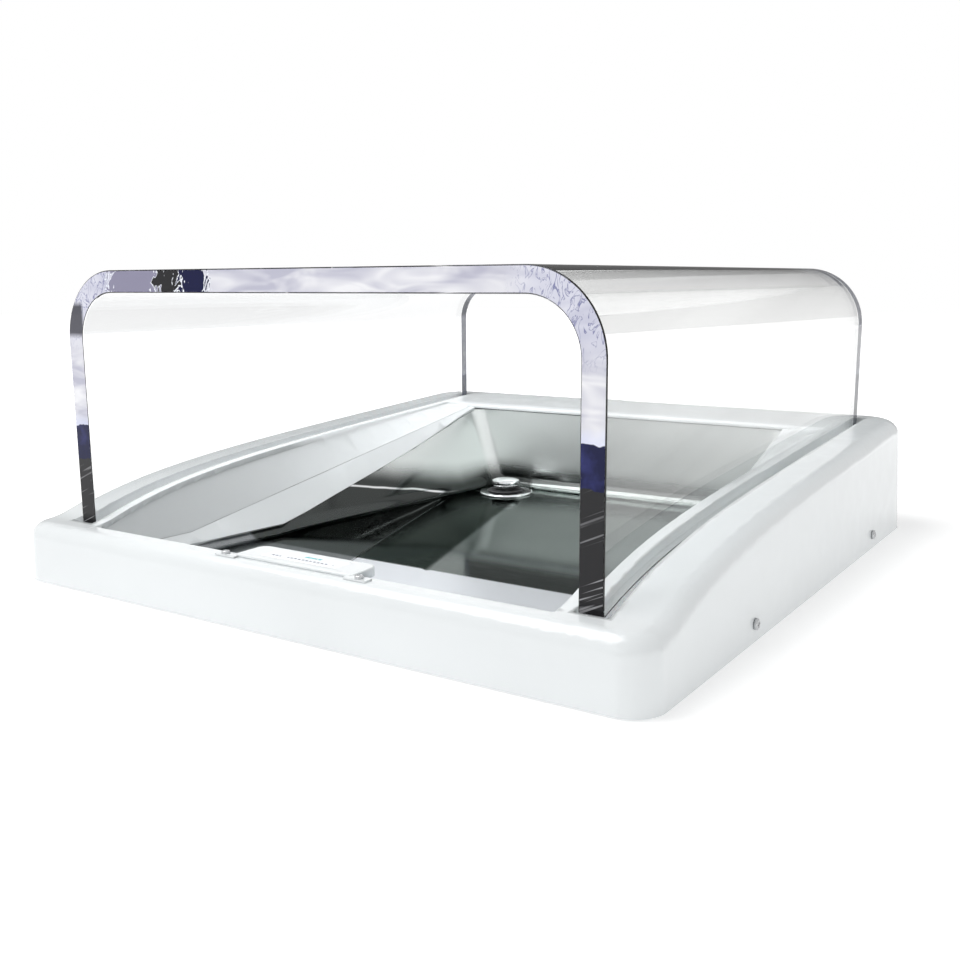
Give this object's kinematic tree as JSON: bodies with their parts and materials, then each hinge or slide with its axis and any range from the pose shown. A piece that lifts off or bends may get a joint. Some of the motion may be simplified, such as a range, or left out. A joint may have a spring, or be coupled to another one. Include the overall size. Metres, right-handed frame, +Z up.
{
  "type": "countertop basin with clear hood",
  "caption": "Low countertop basin: white moulded surround with a steel tray, lift-out waste plug and a clear bent hood that lifts off its grooves.",
  "frame": {"origin": "under the middle of the object, on the surface its feet stand on", "axes": "+X to the right, +Y from the low front rail to the high back rail, +Z up"},
  "size_m": [0.5036, 0.531, 0.2205],
  "materials": {
    "white_plastic": "gloss white",
    "polished_steel": "mirror polished",
    "clear_acrylic": "clear, polished edges",
    "chrome": "bright chrome",
    "black_rubber": "matt",
    "foam_rubber": "closed-cell foam",
    "clear_rubber": "soft translucent",
    "screw_steel": "plated",
    "zinc_steel": "zinc plated sheet",
    "grey_plastic": "moulded",
    "label_print": "printed film"
  },
  "bodies": {
    "base": {"surround_shell": "white_plastic", "right_inner_wall": "white_plastic", "left_inner_wall": "white_plastic", "steel_tray": "polished_steel", "rim_seal": "foam_rubber", "tray_pads": "black_rubber", "tray_front_screws": "screw_steel", "tray_front_nuts": "screw_steel", "rear_brackets": "zinc_steel", "bracket_screws": "screw_steel", "right_hood_seat": "clear_rubber", "left_hood_seat": "clear_rubber", "base_pan": "zinc_steel", "rubber_feet": "black_rubber", "foot_screws": "screw_steel", "foot_nuts": "screw_steel", "side_screws": "screw_steel", "side_nuts": "screw_steel", "waste_flange": "chrome", "waste_gasket": "black_rubber", "waste_body": "grey_plastic", "drain_grommet": "black_rubber", "label_tab": "white_plastic", "label_film": "label_print", "tab_screws": "screw_steel"},
    "hood": {"hood": "clear_acrylic"},
    "plug": {"plug_cap": "chrome", "plug_stopper": "black_rubber"}
  },
  "joints": [
    {"name": "hood_lift", "type": "slide", "parent": "base", "child": "hood", "axis": [0, 0, 1], "range_m": [0, 0.12]},
    {"name": "plug_lift", "type": "slide", "parent": "base", "child": "plug", "axis": [0, 0, 1], "range_m": [0, 0.06]}
  ]
}
